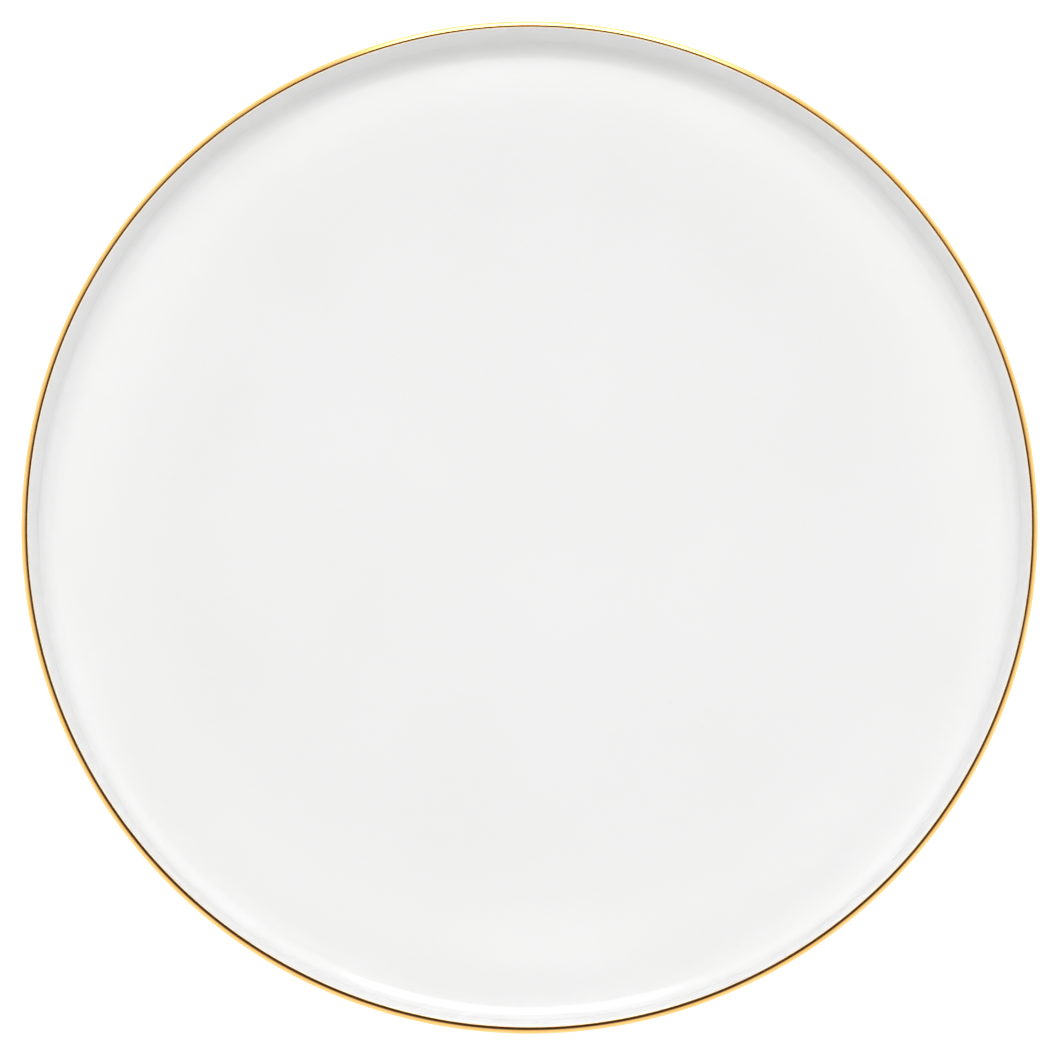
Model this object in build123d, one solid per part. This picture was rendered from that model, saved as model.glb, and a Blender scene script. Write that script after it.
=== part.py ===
from build123d import *
from build123d.topology import SkipClean
from math import radians, tan
import os

# A flat porcelain dinner plate with a short upright wall. The fired body carries two fields of
# glaze, which stop short of the ring it stands on, and a band of gold over the lip.
# Millimetres, +Z up. The origin is the centre of the foot ring's contact face, on the axis.

# Overall sizes, measured over the glaze and the gold
OVERALL_DIAMETER = 270.0
OVERALL_HEIGHT = 22.0

# Coats on the fired body
GLAZE_THICKNESS = 0.25
GOLD_THICKNESS = 0.12

# Fired body: floor and wall
FLOOR_THICKNESS = 3.4
WELL_FILLET = 4.6
INNER_LEAN_ANGLE = 5.0
OUTER_DRAFT_ANGLE = 1.5
HEEL_ROUND = 7.5
UNDERSIDE_RISE_ANGLE = 1.0

# Fired body: lip, with a wide outer round, a tight inner one and a narrow crown between them
LIP_THICKNESS = 1.4
LIP_INNER_ROUND = 0.25
LIP_CROWN_FLAT = 0.08

# Fired body: foot ring
FOOT_INSET = 28.0
FOOT_HEIGHT = 2.2
FOOT_CONTACT_WIDTH = 2.6
FOOT_FLANK_ANGLE = 20.0
FOOT_EDGE_ROUND = 0.7
FOOT_ROOT_ROUND = 1.2

# Limits of the coats
BARE_FOOT_HEIGHT = 0.9
GOLD_PAST_CROWN = 0.2
GOLD_SKIRT = 0.9

# The gold is so thin for its width across the plate that its faces are kept short
GOLD_SECTORS = 8

# Heights and radii that follow from the sizes above
body_radius = OVERALL_DIAMETER / 2 - GLAZE_THICKNESS - GOLD_THICKNESS
body_top = OVERALL_HEIGHT - GLAZE_THICKNESS - GOLD_THICKNESS
floor_top = FOOT_HEIGHT + FLOOR_THICKNESS
floor_middle = FOOT_HEIGHT + FLOOR_THICKNESS / 2
lip_outer_round = LIP_THICKNESS - LIP_INNER_ROUND - LIP_CROWN_FLAT
crown_radius = body_radius - lip_outer_round - LIP_CROWN_FLAT / 2
foot_outer_radius = OVERALL_DIAMETER / 2 - FOOT_INSET
foot_inner_radius = foot_outer_radius - FOOT_CONTACT_WIDTH
foot_middle_radius = (foot_outer_radius + foot_inner_radius) / 2


def inner_wall_radius(height):
    """Radius of the body's inner wall face, which leans outwards up to the lip."""
    return body_radius - LIP_THICKNESS - (body_top - height) * tan(radians(INNER_LEAN_ANGLE))


def outer_wall_radius(height):
    """Radius of the body's outer wall face, which draws in below the lip's round."""
    widest = body_top - lip_outer_round
    return body_radius - (widest - height) * tan(radians(OUTER_DRAFT_ANGLE))


def body_section():
    """Half section of the fired body, from the axis over the well and lip, and back under it."""
    foot_flank = FOOT_HEIGHT * tan(radians(FOOT_FLANK_ANGLE))
    root_radius = foot_outer_radius + foot_flank
    heel_radius = outer_wall_radius(FOOT_HEIGHT)
    heel_height = FOOT_HEIGHT + (heel_radius - root_radius) * tan(radians(UNDERSIDE_RISE_ANGLE))
    outline = FilletPolyline(
        (0, floor_top),
        (inner_wall_radius(floor_top), floor_top),
        (inner_wall_radius(body_top), body_top),
        (outer_wall_radius(body_top), body_top),
        (heel_radius, heel_height),
        (root_radius, FOOT_HEIGHT),
        (foot_outer_radius, 0),
        (foot_inner_radius, 0),
        (foot_inner_radius - foot_flank, FOOT_HEIGHT),
        (0, FOOT_HEIGHT),
        radius=[
            WELL_FILLET,
            LIP_INNER_ROUND,
            lip_outer_round,
            HEEL_ROUND,
            FOOT_ROOT_ROUND,
            FOOT_EDGE_ROUND,
            FOOT_EDGE_ROUND,
            FOOT_ROOT_ROUND,
        ],
    )
    return make_face(outline + Line((0, FOOT_HEIGHT), (0, floor_top)))


def window(low_radius, high_radius, low_height, high_height):
    """Rectangle in the half section that a coat is trimmed to."""
    size = Rectangle(high_radius - low_radius, high_height - low_height)
    return Pos((low_radius + high_radius) / 2, (low_height + high_height) / 2) * size


def coat(body, inner_depth, outer_depth):
    """Layer over the whole body between two distances from its surface."""
    grown = offset(body, outer_depth)
    covered = offset(body, inner_depth) if inner_depth else body
    return grown - covered


def outer_glaze_section(body):
    """Glaze of the well, the wall and the underside, down to the foot ring's outer flank."""
    above_floor = window(0, OVERALL_DIAMETER, floor_middle, 2 * OVERALL_HEIGHT)
    outside_foot = window(foot_middle_radius, OVERALL_DIAMETER, BARE_FOOT_HEIGHT, OVERALL_HEIGHT)
    return coat(body, 0, GLAZE_THICKNESS) & (above_floor + outside_foot)


def recess_glaze_section(body):
    """Glaze inside the foot ring, down to the ring's inner flank."""
    inside_foot = window(0, foot_middle_radius, BARE_FOOT_HEIGHT, floor_middle)
    return coat(body, 0, GLAZE_THICKNESS) & inside_foot


def gold_section(body):
    """Gold over the lip, from just inside the crown to a little way down the outer wall."""
    inner_edge = crown_radius - GOLD_PAST_CROWN
    lower_edge = body_top - lip_outer_round - GOLD_SKIRT
    over_lip = window(inner_edge, OVERALL_DIAMETER, lower_edge, 2 * OVERALL_HEIGHT)
    return coat(body, GLAZE_THICKNESS, GLAZE_THICKNESS + GOLD_THICKNESS) & over_lip


def turned(section):
    """Solid of revolution of a half section about the plate's axis."""
    return revolve(Plane.XZ * section, Axis.Z)


def turned_in_sectors(section, count):
    """The same solid of revolution, with each face divided into equal sectors."""
    sector = revolve(Plane.XZ * section, Axis.Z, 360 / count)
    with SkipClean():
        return Part() + [Rot(0, 0, index * 360 / count) * sector for index in range(count)]


body = body_section()
nodes = {
    "porcelain_body": turned(body),
    "outer_glaze": turned(outer_glaze_section(body)),
    "foot_recess_glaze": turned(recess_glaze_section(body)),
    "gold_lip_band": turned_in_sectors(gold_section(body), GOLD_SECTORS),
}

os.makedirs("parts", exist_ok=True)
for name, solid in nodes.items():
    export_step(solid, f"parts/{name}.step")
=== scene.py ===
import math

import bmesh
import bpy
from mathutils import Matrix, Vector


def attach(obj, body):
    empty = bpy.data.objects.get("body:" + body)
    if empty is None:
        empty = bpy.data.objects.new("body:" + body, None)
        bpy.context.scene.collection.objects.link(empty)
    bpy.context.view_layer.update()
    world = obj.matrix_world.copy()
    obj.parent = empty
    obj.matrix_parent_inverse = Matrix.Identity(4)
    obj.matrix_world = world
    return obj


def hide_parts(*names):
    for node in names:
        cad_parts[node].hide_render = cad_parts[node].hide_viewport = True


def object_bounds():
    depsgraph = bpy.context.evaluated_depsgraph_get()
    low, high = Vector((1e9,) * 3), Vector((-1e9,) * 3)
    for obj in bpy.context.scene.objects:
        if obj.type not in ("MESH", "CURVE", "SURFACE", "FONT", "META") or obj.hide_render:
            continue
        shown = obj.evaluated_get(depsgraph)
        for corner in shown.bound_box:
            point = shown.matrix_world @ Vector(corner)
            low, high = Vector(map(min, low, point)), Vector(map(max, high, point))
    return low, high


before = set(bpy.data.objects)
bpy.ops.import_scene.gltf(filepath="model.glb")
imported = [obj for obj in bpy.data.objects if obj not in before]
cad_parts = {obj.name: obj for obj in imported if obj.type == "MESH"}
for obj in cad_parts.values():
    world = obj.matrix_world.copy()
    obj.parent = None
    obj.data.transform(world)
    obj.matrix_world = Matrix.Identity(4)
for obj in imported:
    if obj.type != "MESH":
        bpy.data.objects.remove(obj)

# A flat porcelain dinner plate with a gold band on its lip. Metres, in the CAD model's frame:
# +Z up, the origin at the centre of the foot ring's contact face. The overall sizes are read
# from the frame, and the section below is the one the CAD model turns.

cad_low, cad_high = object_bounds()
MM = 0.001
outer_radius = (cad_high.x - cad_low.x) / 2
lip_height = cad_high.z

# Coats on the fired body
GLAZE = 0.25 * MM
GOLD = 0.12 * MM
coats = GLAZE + GOLD

# The fired body's section
FLOOR_THICKNESS = 3.4 * MM
WELL_FILLET = 4.6 * MM
INNER_LEAN = math.radians(5.0)
OUTER_DRAFT = math.radians(1.5)
HEEL_ROUND = 7.5 * MM
UNDERSIDE_RISE = math.radians(1.0)
LIP_THICKNESS = 1.4 * MM
LIP_INNER_ROUND = 0.25 * MM
LIP_CROWN_FLAT = 0.08 * MM
FOOT_INSET = 28.0 * MM
FOOT_HEIGHT = 2.2 * MM
FOOT_CONTACT = 2.6 * MM
FOOT_FLANK = math.radians(20.0)
FOOT_EDGE_ROUND = 0.7 * MM
FOOT_ROOT_ROUND = 1.2 * MM
BARE_FOOT = 0.9 * MM
GOLD_PAST_CROWN = 0.2 * MM
GOLD_SKIRT = 0.9 * MM

# How finely the pieces are turned
TURN_STEPS = 384
ARC_STEP = math.radians(6.0)
STRAIGHT_STEP = 4.0 * MM
GLAZE_EDGE_STEPS = 9
GOLD_STEPS = 36
SHARP_EDGE = math.radians(40)

# Where a coat ends it thins out to an edge that isn't quite even
THINNEST = 0.1
GLAZE_RUN = 0.5 * MM
GOLD_RUN = 0.12 * MM
GLAZE_WANDER = 0.14 * MM
GOLD_WANDER = 0.05 * MM

# A noise's middle range, where nearly all of it lies
NOISE_MIDDLE = (0.3, 0.7)

# Specks in the glaze: cells per metre, how few of them have one, its edge as a share of a cell,
# how strong it is, and its colour
SPECK_CELLS = 150.0
SPECK_RARITY = 0.82
SPECK_EDGE = (0.02, 0.055)
SPECK_STRENGTH = 0.16
SPECK_COLOUR = (0.60, 0.57, 0.53, 1)

# Scuffs on the bare foot
SCUFF_COLOUR = (0.46, 0.44, 0.42, 1)

# The camera
CAMERA_ELEVATION = math.radians(84.9)
CAMERA_DISTANCE = 1.0
FIELD_WIDTH = 0.2811
SENSOR_WIDTH = 36.0
AIM_ASIDE = (0.12 * MM, -2.38 * MM)
NEAREST_SEEN = 0.01

# The table and the backdrop
TABLE_RADIUS = 8.0
TABLE_GREY = (0.32, 0.32, 0.32, 1)
TABLE_GLOW = 0.87
TABLE_ROUGHNESS = 0.9
BACKDROP_RADIUS = 7.5
BACKDROP_LEVEL = 1.05
WHITE = (1, 1, 1, 1)

# The surroundings' levels above the horizon and below it, and how far the change between reaches
WORLD_LEVEL = 0.25
TABLE_BOUNCE = 0.6
HORIZON_SOFTNESS = 0.15

# The tent that the gloss reflects: its levels low down and high up, and between which elevations
# it changes
TENT_RADIUS = 5.0
TENT_LOW = 1.05
TENT_HIGH = 0.72
TENT_SHOULDER = (math.radians(25), math.radians(50))

# What the back light adds to the tent: a wide faint glow by the floor, and a bright core
BACK_GLOW = {"level": 0.35, "azimuth": 0, "half_width": 52, "low": -30, "high": 16, "softness": 9}
BACK_CORE = {"level": 3.8, "azimuth": 2, "half_width": 17, "low": 12, "high": 61, "softness": 2}

# The tent's opening, which leans towards -Y and fades from an inner to an outer cone
OPENING_LEAN = math.radians(8)
OPENING_INNER = math.radians(20)
OPENING_OUTER = math.radians(36)
OPENING_LEVEL = 0.05
OPENING_TINT = (1.0, 0.66, 0.58, 1)

# The soft lamps that light the matt side of things, each by its radiance. The key hangs high
# behind the plate. The others stand round it, low or high, in pairs except for back and front.
LAMP_DISTANCE = 2.0
LAMP_SIZE = 0.7
KEY_HEIGHT = math.radians(78)
LOW = math.radians(8)
MIDDLE = math.radians(40)
HIGH = math.radians(62)
KEY = 9.0
BACK_LOW = 1.7
BACK_CORNER_LOW = 4.0
BACK_CORNER_HIGH = 3.3
SIDE_LOW = 2.4
SIDE_MIDDLE = 0.6
FRONT_CORNER_MIDDLE = 1.8
FRONT_LOW = 2.3
FRONT_MIDDLE = 1.8


# ---------------------------------------------------------------- section


class Outline:
    """A half section's outline that can be walked by its length, with round corners."""

    def __init__(self, corners):
        self.points = []
        self.arcs = []
        self._add(Vector(corners[0][:2]), corners[0], corners[1])
        for before, corner, after in zip(corners, corners[1:], corners[2:]):
            self._round(Vector(before[:2]), Vector(corner[:2]), Vector(after[:2]), corner[2])
        self._add(Vector(corners[-1][:2]), corners[-2], corners[-1])

    def _add(self, point, start, end):
        """One end of the outline, with the normal of the straight that meets it."""
        along = (Vector(end[:2]) - Vector(start[:2])).normalized()
        self._put(point, Vector((-along.y, along.x)))

    def _put(self, point, normal):
        """A point, with more before it where a straight would be left too long."""
        if self.points:
            last_length, last_point, _ = self.points[-1]
            gap = (point - last_point).length
            count = max(1, math.ceil(gap / STRAIGHT_STEP))
            for index in range(1, count):
                share = index / count
                self.points.append((last_length + gap * share, last_point.lerp(point, share), normal))
            self.points.append((last_length + gap, point, normal))
        else:
            self.points.append((0.0, point, normal))

    def _round(self, before, corner, after, radius):
        """A fillet of that radius at a corner of the outline."""
        into = (corner - before).normalized()
        out = (after - corner).normalized()
        cross = into.x * out.y - into.y * out.x
        turn = math.atan2(cross, into.dot(out))
        side = Vector((-into.y, into.x)) * math.copysign(1, turn)
        start = corner - into * radius * math.tan(abs(turn) / 2)
        centre = start + side * radius
        count = max(2, math.ceil(abs(turn) / ARC_STEP))
        first = None
        for index in range(count + 1):
            angle = turn * index / count
            spoke = rotated(start - centre, angle)
            travel = rotated(into, angle)
            self._put(centre + spoke, Vector((-travel.y, travel.x)))
            first = self.points[-1][0] if first is None else first
        self.arcs.append((first, self.points[-1][0]))

    def length(self):
        return self.points[-1][0]

    def at(self, length):
        """The point and the outward normal at a length along the outline."""
        for low, high in zip(self.points, self.points[1:]):
            if length <= high[0]:
                share = (length - low[0]) / max(high[0] - low[0], 1e-12)
                return low[1].lerp(high[1], share), low[2].lerp(high[2], share).normalized()
        return self.points[-1][1], self.points[-1][2]

    def lengths(self, start, end):
        """The lengths of the outline's own points from one length to another."""
        return [start] + [point[0] for point in self.points if start < point[0] < end] + [end]

    def length_at_height(self, height, start, end):
        """Where the outline passes a height, between two lengths."""
        for low, high in zip(self.points, self.points[1:]):
            inside = start <= low[0] and high[0] <= end
            if inside and (low[1].y - height) * (high[1].y - height) <= 0:
                share = (height - low[1].y) / (high[1].y - low[1].y)
                return low[0] + (high[0] - low[0]) * share
        raise ValueError("the outline doesn't pass that height there")


def rotated(vector, angle):
    cos, sin = math.cos(angle), math.sin(angle)
    return Vector((vector.x * cos - vector.y * sin, vector.x * sin + vector.y * cos))


def fired_body():
    """The fired body's outline: out across the well, over the lip, and back under the plate."""
    body_radius = outer_radius - coats
    body_top = lip_height - coats
    floor_top = FOOT_HEIGHT + FLOOR_THICKNESS
    lip_outer_round = LIP_THICKNESS - LIP_INNER_ROUND - LIP_CROWN_FLAT
    lip_inside = body_radius - LIP_THICKNESS
    well_edge = lip_inside - (body_top - floor_top) * math.tan(INNER_LEAN)
    lip_outside = body_radius + lip_outer_round * math.tan(OUTER_DRAFT)
    heel_edge = body_radius - (body_top - lip_outer_round - FOOT_HEIGHT) * math.tan(OUTER_DRAFT)
    foot_outside = outer_radius - FOOT_INSET
    foot_inside = foot_outside - FOOT_CONTACT
    flank = FOOT_HEIGHT * math.tan(FOOT_FLANK)
    heel_rise = (heel_edge - foot_outside - flank) * math.tan(UNDERSIDE_RISE)
    return Outline([
        (0.0, floor_top, 0),
        (well_edge, floor_top, WELL_FILLET),
        (lip_inside, body_top, LIP_INNER_ROUND),
        (lip_outside, body_top, lip_outer_round),
        (heel_edge, FOOT_HEIGHT + heel_rise, HEEL_ROUND),
        (foot_outside + flank, FOOT_HEIGHT, FOOT_ROOT_ROUND),
        (foot_outside, 0.0, FOOT_EDGE_ROUND),
        (foot_inside, 0.0, FOOT_EDGE_ROUND),
        (foot_inside - flank, FOOT_HEIGHT, FOOT_ROOT_ROUND),
        (0.0, FOOT_HEIGHT, 0),
    ])


# The places of those rounds in the outline's list of arcs
LIP_INNER_ARC, LIP_OUTER_ARC = 1, 2
FOOT_OUTER_ROOT, FOOT_OUTER_EDGE, FOOT_INNER_EDGE, FOOT_INNER_ROOT = 4, 5, 6, 7


# ---------------------------------------------------------------- turning


def grown(walked, depths):
    """Points that lie outside the walked ones, by one depth or by a depth for each."""
    if not isinstance(depths, list):
        depths = [depths] * len(walked)
    return [point + normal * depth for (point, normal), depth in zip(walked, depths)]


def placed(name, mesh):
    """An object made from a bmesh, in the scene."""
    data = bpy.data.meshes.new(name)
    mesh.to_mesh(data)
    mesh.free()
    thing = bpy.data.objects.new(name, data)
    bpy.context.scene.collection.objects.link(thing)
    return thing


def turned(name, section_at, closed):
    """A solid of revolution. section_at gives the section at an angle: from axis to axis, or a
    closed ring of points when closed."""
    mesh = bmesh.new()
    columns = []
    poles = {}
    for step in range(TURN_STEPS):
        angle = 2 * math.pi * step / TURN_STEPS
        column = []
        section = section_at(angle)
        for index, point in enumerate(section):
            on_axis = not closed and index in (0, len(section) - 1)
            if on_axis:
                if index not in poles:
                    poles[index] = mesh.verts.new((0, 0, point.y))
                column.append(poles[index])
            else:
                x, y = point.x * math.cos(angle), point.x * math.sin(angle)
                column.append(mesh.verts.new((x, y, point.y)))
        columns.append(column)
    for step, column in enumerate(columns):
        beside = columns[(step + 1) % TURN_STEPS]
        count = len(column)
        for index in range(count if closed else count - 1):
            following = (index + 1) % count
            corners = [column[index], beside[index], beside[following], column[following]]
            mesh.faces.new(list(dict.fromkeys(corners)))
    bmesh.ops.recalc_face_normals(mesh, faces=mesh.faces)
    piece = placed(name, mesh)
    for polygon in piece.data.polygons:
        polygon.use_smooth = True
    piece.data.set_sharp_from_angle(angle=SHARP_EDGE)
    return piece


def thinned(lengths, full, start_run, end_run):
    """Thickness at each length of a coat that thins out over a run at one or both of its ends."""
    depths = []
    for length in lengths:
        share = 1.0
        if start_run:
            share = min(share, (length - lengths[0]) / start_run)
        if end_run:
            share = min(share, (lengths[-1] - length) / end_run)
        bulge = math.sqrt(1 - (1 - share) ** 2)
        depths.append(full * (THINNEST + (1 - THINNEST) * bulge))
    return depths


def coat_section(outline, lengths, under, full, start_run, end_run):
    """Section of a coat: its outer side along those lengths, then back along its inner side."""
    walked = [outline.at(length) for length in lengths]
    depths = [under + depth for depth in thinned(lengths, full, start_run, end_run)]
    return grown(walked, depths) + list(reversed(grown(walked, under)))


def spaced(start, end, count):
    """Lengths from start to end in that many equal steps."""
    return [start + (end - start) * index / count for index in range(count + 1)]


def wander(angle, phase, counts):
    """A smooth closed line about zero, as an edge laid by hand on a turning plate leaves."""
    waves = [math.sin(count * angle + phase * count) / math.sqrt(count) for count in counts]
    return sum(waves) / len(waves)


# ---------------------------------------------------------------- materials


class Nodes:
    """A small helper to wire a material's or the world's nodes."""

    def __init__(self, owner):
        owner.use_nodes = True
        self.tree = owner.node_tree
        self.tree.nodes.clear()

    def add(self, kind, settings=None, **inputs):
        """A node with its settings and inputs. An input is named, or numbered as i0, i1, ..."""
        node = self.tree.nodes.new(kind)
        for key, value in (settings or {}).items():
            setattr(node, key, value)
        for key, value in inputs.items():
            numbered = key[0] == "i" and key[1:].isdigit()
            socket = node.inputs[int(key[1:])] if numbered else node.inputs[key]
            self.give(socket, value)
        return node

    def give(self, socket, value):
        """A link where the value is another node's output, and a plain value otherwise."""
        if hasattr(value, "links"):
            self.tree.links.new(value, socket)
        else:
            socket.default_value = value

    def sums(self, operation, first, second=None):
        """The result of one Math node."""
        node = self.add("ShaderNodeMath", {"operation": operation}, i0=first)
        if second is not None:
            self.give(node.inputs[1], second)
        return node.outputs["Value"]

    def spread(self, value, source, target, smooth=False):
        """A value's range spread over another range, and held at its ends."""
        kind = "SMOOTHSTEP" if smooth else "LINEAR"
        node = self.add("ShaderNodeMapRange", {"interpolation_type": kind}, Value=value)
        node.inputs["From Min"].default_value, node.inputs["From Max"].default_value = source
        node.inputs["To Min"].default_value, node.inputs["To Max"].default_value = target
        return node.outputs["Result"]

    def blended(self, factor, first, second):
        """One colour mixed into another."""
        node = self.add("ShaderNodeMix", {"data_type": "RGBA"}, Factor=factor, i6=first, i7=second)
        return node.outputs[2]

    def noise(self, place, scale, detail):
        node = self.add("ShaderNodeTexNoise", {}, Vector=place, Scale=scale, Detail=detail)
        return node.outputs["Fac"]

    def ramp(self, source, low_colour, high_colour):
        """A colour that goes from one to another over a noise's middle range."""
        node = self.add("ShaderNodeValToRGB", {}, Fac=source)
        for element, position, colour in zip(node.color_ramp.elements, NOISE_MIDDLE,
                                             (low_colour, high_colour)):
            element.position = position
            element.color = (*colour, 1)
        return node.outputs["Color"]

    def bumped(self, layers):
        """Bumps laid on each other: each a height, its depth in metres, and its strength."""
        normal = None
        for height, depth, strength in layers:
            node = self.add("ShaderNodeBump", {}, Height=height, Distance=depth, Strength=strength)
            if normal:
                self.give(node.inputs["Normal"], normal)
            normal = node.outputs["Normal"]
        return normal

    def around(self, place, turns, across):
        """Coordinates that change slowly round the plate and quickly across it, with no seam."""
        split = self.add("ShaderNodeSeparateXYZ", {}, Vector=place)
        flat = self.add("ShaderNodeCombineXYZ", {}, X=split.outputs["X"], Y=split.outputs["Y"])
        flat = flat.outputs["Vector"]
        radius = self.add("ShaderNodeVectorMath", {"operation": "LENGTH"}, i0=flat)
        heading = self.add("ShaderNodeVectorMath", {"operation": "NORMALIZE"}, i0=flat)
        slow = self.add("ShaderNodeVectorMath", {"operation": "SCALE"},
                        i0=heading.outputs["Vector"], Scale=turns)
        outward = self.sums("ADD", radius.outputs["Value"], split.outputs["Z"])
        lift = self.add("ShaderNodeCombineXYZ", {}, Z=self.sums("MULTIPLY", outward, across))
        both = self.add("ShaderNodeVectorMath", {"operation": "ADD"},
                        i0=slow.outputs["Vector"], i1=lift.outputs["Vector"])
        return both.outputs["Vector"]

    def finish(self, shader, output="ShaderNodeOutputMaterial"):
        end = self.add(output)
        self.give(end.inputs["Surface"], shader.outputs[0])


def new_material(name):
    material = bpy.data.materials.new(name)
    return material, Nodes(material)


def glaze_material(name):
    """Gloss glaze on white porcelain: a slow drift in whiteness, a few faint specks and pinholes,
    a ripple from the turning and a fine orange peel."""
    material, nodes = new_material(name)
    place = nodes.add("ShaderNodeTexCoord").outputs["Object"]
    drift = nodes.noise(place, scale=16.0, detail=3.0)
    white = nodes.ramp(drift, (0.868, 0.867, 0.864), (0.882, 0.882, 0.881))
    grains = nodes.add("ShaderNodeTexVoronoi", {}, Vector=place, Scale=SPECK_CELLS)
    chosen = nodes.sums("GREATER_THAN", grains.outputs["Color"], SPECK_RARITY)
    near = nodes.spread(grains.outputs["Distance"], SPECK_EDGE, (SPECK_STRENGTH, 0.0))
    speck = nodes.sums("MULTIPLY", near, chosen)
    colour = nodes.blended(speck, white, SPECK_COLOUR)
    smears = nodes.noise(place, scale=30.0, detail=4.0)
    rough = nodes.spread(smears, NOISE_MIDDLE, (0.035, 0.06))
    turning = nodes.noise(nodes.around(place, turns=0.5, across=210.0), scale=1.0, detail=2.0)
    peel = nodes.noise(place, scale=420.0, detail=2.0)
    pit = nodes.sums("MULTIPLY", speck, -1.0)
    normal = nodes.bumped([
        (turning, 0.006 * MM, 0.5),
        (peel, 0.01 * MM, 0.5),
        (pit, 0.04 * MM, 0.5),
    ])
    shader = nodes.add("ShaderNodeBsdfPrincipled", {}, Roughness=rough, IOR=1.5, Normal=normal)
    nodes.give(shader.inputs["Base Color"], colour)
    nodes.finish(shader)
    return material


def gold_material(name):
    """Bright fired gold, laid with a brush while the plate turned."""
    material, nodes = new_material(name)
    place = nodes.add("ShaderNodeTexCoord").outputs["Object"]
    strokes = nodes.noise(nodes.around(place, turns=9.0, across=9000.0), scale=1.0, detail=3.0)
    patches = nodes.noise(nodes.around(place, turns=14.0, across=900.0), scale=1.0, detail=2.0)
    colour = nodes.ramp(patches, (1.0, 0.57, 0.18), (1.0, 0.63, 0.24))
    rough = nodes.spread(strokes, NOISE_MIDDLE, (0.10, 0.20))
    grain = nodes.noise(place, scale=6000.0, detail=2.0)
    normal = nodes.bumped([
        (strokes, 0.004 * MM, 0.5),
        (grain, 0.001 * MM, 0.5),
    ])
    shader = nodes.add("ShaderNodeBsdfPrincipled", {}, Metallic=1.0, Roughness=rough, Normal=normal)
    nodes.give(shader.inputs["Base Color"], colour)
    nodes.finish(shader)
    return material


def bisque_material(name):
    """Bare fired porcelain, matt and fine-grained, with grey scuffs where the foot ring stands."""
    material, nodes = new_material(name)
    place = nodes.add("ShaderNodeTexCoord").outputs["Object"]
    grain = nodes.noise(place, scale=2500.0, detail=4.0)
    clay = nodes.ramp(grain, (0.70, 0.67, 0.61), (0.80, 0.775, 0.73))
    rubbed = nodes.noise(nodes.around(place, turns=12.0, across=700.0), scale=1.0, detail=5.0)
    scuffed = nodes.spread(rubbed, (0.55, 0.75), (0.0, 0.5))
    colour = nodes.blended(scuffed, clay, SCUFF_COLOUR)
    rough = nodes.spread(rubbed, NOISE_MIDDLE, (0.85, 0.62))
    normal = nodes.bumped([(grain, 0.03 * MM, 0.7)])
    shader = nodes.add("ShaderNodeBsdfPrincipled", {}, Roughness=rough, Normal=normal)
    nodes.give(shader.inputs["Base Color"], colour)
    nodes.finish(shader)
    return material


def floor_material(name):
    """A white table that glows a little, as a light table does."""
    material, nodes = new_material(name)
    shader = nodes.add("ShaderNodeBsdfPrincipled", {}, Roughness=TABLE_ROUGHNESS)
    shader.inputs["Base Color"].default_value = TABLE_GREY
    shader.inputs["Emission Color"].default_value = WHITE
    shader.inputs["Emission Strength"].default_value = TABLE_GLOW
    nodes.finish(shader)
    return material


# ---------------------------------------------------------------- pieces


def build_pieces():
    body = fired_body()
    foot_outer_end = body.arcs[FOOT_OUTER_EDGE][1]
    foot_inner_start = body.arcs[FOOT_INNER_EDGE][0]
    outer_stop = body.length_at_height(BARE_FOOT, body.arcs[FOOT_OUTER_ROOT][0], foot_outer_end)
    inner_start = body.length_at_height(BARE_FOOT, foot_inner_start, body.arcs[FOOT_INNER_ROOT][1])
    crown = (body.arcs[LIP_INNER_ARC][1] + body.arcs[LIP_OUTER_ARC][0]) / 2
    gold_inside = crown - GOLD_PAST_CROWN
    gold_outside = body.arcs[LIP_OUTER_ARC][1] + GOLD_SKIRT
    whole = grown([body.at(length) for length in body.lengths(0, body.length())], 0)
    outer_fixed = body.lengths(0, outer_stop - 2 * GLAZE_RUN)
    inner_fixed = body.lengths(inner_start + 2 * GLAZE_RUN, body.length())

    def outer_glaze(angle):
        stop = outer_stop + GLAZE_WANDER * wander(angle, 0.7, (2, 5, 9, 16, 29))
        lengths = outer_fixed[:-1] + spaced(outer_fixed[-1], stop, GLAZE_EDGE_STEPS)
        return coat_section(body, lengths, 0, GLAZE, 0, GLAZE_RUN)

    def recess_glaze(angle):
        start = inner_start + GLAZE_WANDER * wander(angle, 2.1, (3, 4, 11, 17, 31))
        lengths = spaced(start, inner_fixed[0], GLAZE_EDGE_STEPS) + inner_fixed[1:]
        section = coat_section(body, lengths, 0, GLAZE, GLAZE_RUN, 0)
        return list(reversed(section[:len(lengths)])) + list(reversed(section[len(lengths):]))

    def gold(angle):
        start = gold_inside + GOLD_WANDER * wander(angle, 1.3, (1, 3, 7, 13, 24))
        end = gold_outside + 2 * GOLD_WANDER * wander(angle, 4.4, (2, 3, 8, 15, 27))
        return coat_section(body, spaced(start, end, GOLD_STEPS), GLAZE, GOLD, GOLD_RUN, 2 * GOLD_RUN)

    glaze = glaze_material("clear_glaze_on_white")
    pieces = [
        (turned("fired_porcelain", lambda angle: whole, False),
         bisque_material("bare_porcelain"), "porcelain_body", "fired_body"),
        (turned("glaze_over_plate", outer_glaze, False), glaze, "outer_glaze", "white_glaze"),
        (turned("glaze_in_foot", recess_glaze, False), glaze, "foot_recess_glaze", "white_glaze"),
        (turned("gold_band", gold, True), gold_material("fired_gold"), "gold_lip_band", "gold"),
    ]
    for piece, material, stands_for, slot in pieces:
        piece.data.materials.append(material)
        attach(piece, "root")
        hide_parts(stands_for)


# ---------------------------------------------------------------- stage


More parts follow.
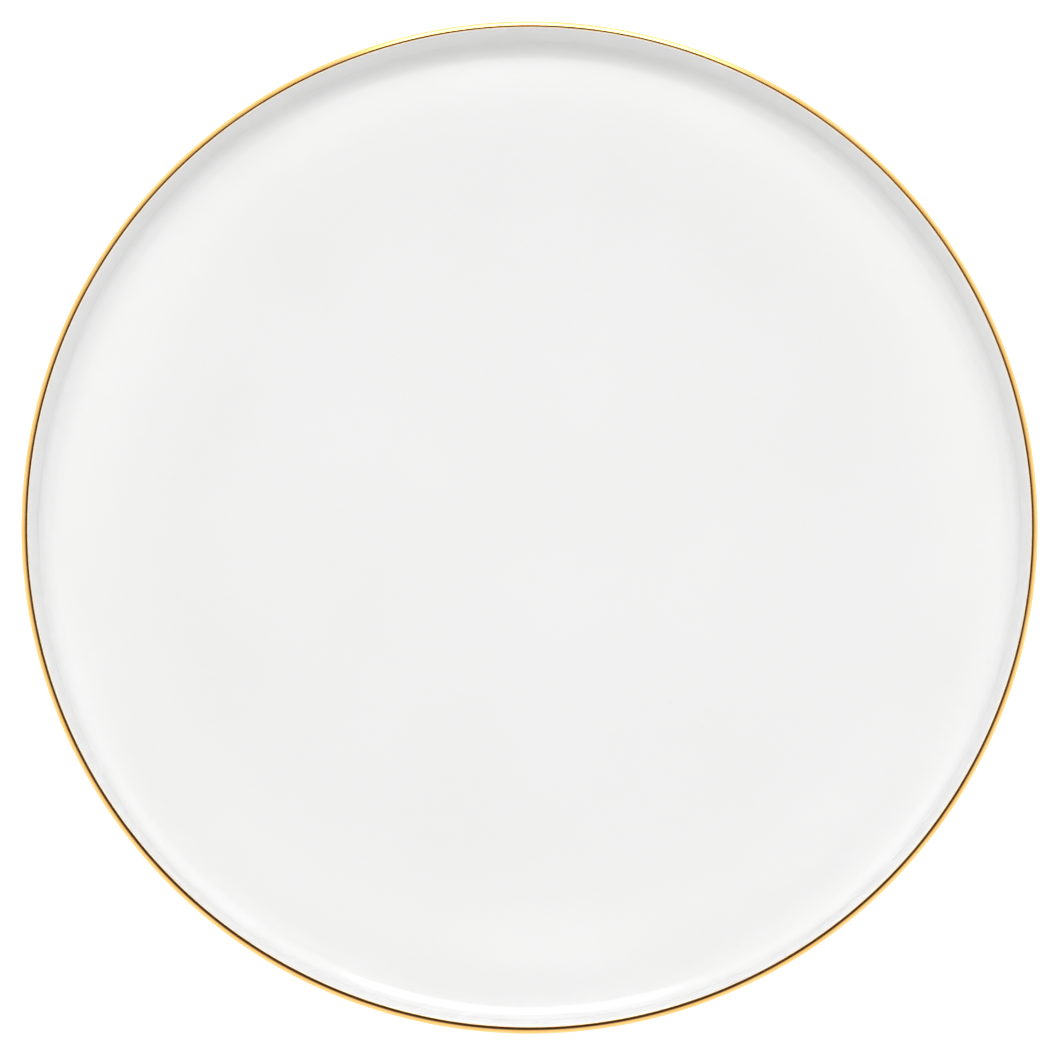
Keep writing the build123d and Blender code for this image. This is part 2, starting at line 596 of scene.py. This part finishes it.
def build_floor():
    """The table. Its glow is kept off the plate's matt side, where the world stands in for it."""
    mesh = bmesh.new()
    bmesh.ops.create_circle(mesh, cap_ends=True, segments=64, radius=TABLE_RADIUS)
    floor = placed("floor", mesh)
    floor.data.materials.append(floor_material("white_table"))
    floor.visible_diffuse = False


def build_world():
    """Dim plain surroundings that fill in behind the lamps, and below the horizon the light that
    the table throws back up at the plate's outside."""
    world = bpy.data.worlds.new("studio")
    bpy.context.scene.world = world
    nodes = Nodes(world)
    place = nodes.add("ShaderNodeTexCoord").outputs["Generated"]
    split = nodes.add("ShaderNodeSeparateXYZ", {}, Vector=place)
    level = nodes.spread(split.outputs["Z"], (-HORIZON_SOFTNESS, 0.0),
                         (TABLE_BOUNCE, WORLD_LEVEL), smooth=True)
    background = nodes.add("ShaderNodeBackground", {}, Color=WHITE, Strength=level)
    nodes.finish(background, "ShaderNodeOutputWorld")


def dome(name, radius, material):
    """A half sphere over the floor that sheds no light on anything matt."""
    mesh = bmesh.new()
    bmesh.ops.create_uvsphere(mesh, u_segments=64, v_segments=32, radius=radius)
    under = [face for face in mesh.faces if face.calc_center_median().z < 0]
    bmesh.ops.delete(mesh, geom=under, context="FACES")
    shell = placed(name, mesh)
    shell.visible_diffuse = False
    shell.visible_shadow = False
    shell.data.materials.append(material)
    return shell


def backdrop_material(name):
    """The same white as the floor, evenly lit."""
    material, nodes = new_material(name)
    nodes.finish(nodes.add("ShaderNodeEmission", {}, Color=WHITE, Strength=BACKDROP_LEVEL))
    return material


def build_domes():
    """The tent that the gloss reflects, which is white all round, open above the camera, and has
    the back light's glow and bright core showing through it, and the backdrop behind it."""
    tent = dome("tent", TENT_RADIUS, tent_material("lit_tent"))
    tent.visible_camera = False
    backdrop = dome("backdrop", BACKDROP_RADIUS, backdrop_material("white_backdrop"))
    backdrop.visible_glossy = False


def within(nodes, value, low, high, soft):
    """1 between two angles in degrees, 0 outside them, with a soft edge."""
    middle = math.radians(low + high) / 2
    reach = math.radians(high - low) / 2
    soft = math.radians(soft)
    off = nodes.sums("ABSOLUTE", nodes.sums("SUBTRACT", value, middle))
    return nodes.spread(off, (reach - soft, reach + soft), (1.0, 0.0), smooth=True)


def tent_material(name):
    """Light that depends on the direction from the tent's middle."""
    material, nodes = new_material(name)
    place = nodes.add("ShaderNodeTexCoord").outputs["Object"]
    heading = nodes.add("ShaderNodeVectorMath", {"operation": "NORMALIZE"}, i0=place).outputs["Vector"]
    split = nodes.add("ShaderNodeSeparateXYZ", {}, Vector=heading)
    azimuth = nodes.sums("ARCTAN2", split.outputs["X"], split.outputs["Y"])
    elevation = nodes.sums("ARCSINE", split.outputs["Z"])
    total = nodes.spread(elevation, TENT_SHOULDER, (TENT_LOW, TENT_HIGH), smooth=True)
    for light in (BACK_GLOW, BACK_CORE):
        left, right = light["azimuth"] - light["half_width"], light["azimuth"] + light["half_width"]
        across = within(nodes, azimuth, left, right, light["softness"])
        upright = within(nodes, elevation, light["low"], light["high"], light["softness"])
        lit = nodes.sums("MULTIPLY", nodes.sums("MULTIPLY", across, upright), light["level"])
        total = nodes.sums("ADD", lit, total)
    opening = (0, -math.sin(OPENING_LEAN), math.cos(OPENING_LEAN))
    toward = nodes.add("ShaderNodeVectorMath", {"operation": "DOT_PRODUCT"}, i0=heading, i1=opening)
    cones = (math.cos(OPENING_OUTER), math.cos(OPENING_INNER))
    open_here = nodes.spread(toward.outputs["Value"], cones, (0.0, 1.0), smooth=True)
    level = nodes.add("ShaderNodeMix", {"data_type": "FLOAT"},
                      Factor=open_here, A=total, B=OPENING_LEVEL)
    glow = nodes.add("ShaderNodeEmission", {}, Color=nodes.blended(open_here, WHITE, OPENING_TINT))
    nodes.give(glow.inputs["Strength"], level.outputs["Result"])
    nodes.finish(glow)
    return material


def softbox(name, azimuth, elevation, radiance):
    """A square soft lamp aimed at the plate, with its radiance given rather than its power. The
    gloss shows the tent and not the lamp."""
    light = bpy.data.lights.new(name, "AREA")
    light.shape = "SQUARE"
    light.size = LAMP_SIZE
    light.energy = radiance * math.pi * LAMP_SIZE ** 2
    place = Vector((math.sin(azimuth) * math.cos(elevation), math.cos(azimuth) * math.cos(elevation),
                    math.sin(elevation))) * LAMP_DISTANCE
    lamp = bpy.data.objects.new(name, light)
    lamp.location = place
    lamp.rotation_euler = (-place).to_track_quat("-Z", "Y").to_euler()
    lamp.visible_camera = False
    lamp.visible_glossy = False
    bpy.context.scene.collection.objects.link(lamp)


def lamp_pair(name, azimuth, elevation, radiance):
    """The same lamp on both sides of the plate."""
    softbox(name + "_right", azimuth, elevation, radiance)
    softbox(name + "_left", -azimuth, elevation, radiance)


def build_lights():
    back, back_corner, side, front_corner, front = (math.radians(45 * step) for step in range(5))
    softbox("key", back, KEY_HEIGHT, KEY)
    softbox("back_low", back, LOW, BACK_LOW)
    lamp_pair("back_corner_low", back_corner, LOW, BACK_CORNER_LOW)
    lamp_pair("back_corner_high", back_corner, HIGH, BACK_CORNER_HIGH)
    lamp_pair("side_low", side, LOW, SIDE_LOW)
    lamp_pair("side_middle", side, MIDDLE, SIDE_MIDDLE)
    lamp_pair("front_corner_middle", front_corner, MIDDLE, FRONT_CORNER_MIDDLE)
    softbox("front_low", front, LOW, FRONT_LOW)
    softbox("front_middle", front, MIDDLE, FRONT_MIDDLE)


def build_camera():
    """Nearly straight above the plate, leaning a little to the -Y side."""
    camera = bpy.data.cameras.new("camera")
    camera.sensor_width = SENSOR_WIDTH
    camera.lens = SENSOR_WIDTH * CAMERA_DISTANCE / FIELD_WIDTH
    camera.clip_start = NEAREST_SEEN
    holder = bpy.data.objects.new("camera", camera)
    aim = Vector((AIM_ASIDE[0], AIM_ASIDE[1], lip_height))
    away = Vector((0, -math.cos(CAMERA_ELEVATION), math.sin(CAMERA_ELEVATION)))
    holder.location = aim + away * CAMERA_DISTANCE
    holder.rotation_euler = (-away).to_track_quat("-Z", "Y").to_euler()
    bpy.context.scene.collection.objects.link(holder)
    bpy.context.scene.camera = holder
    bpy.context.scene.view_settings.view_transform = "Standard"


build_pieces()
build_floor()
build_world()
build_domes()
build_lights()
build_camera()
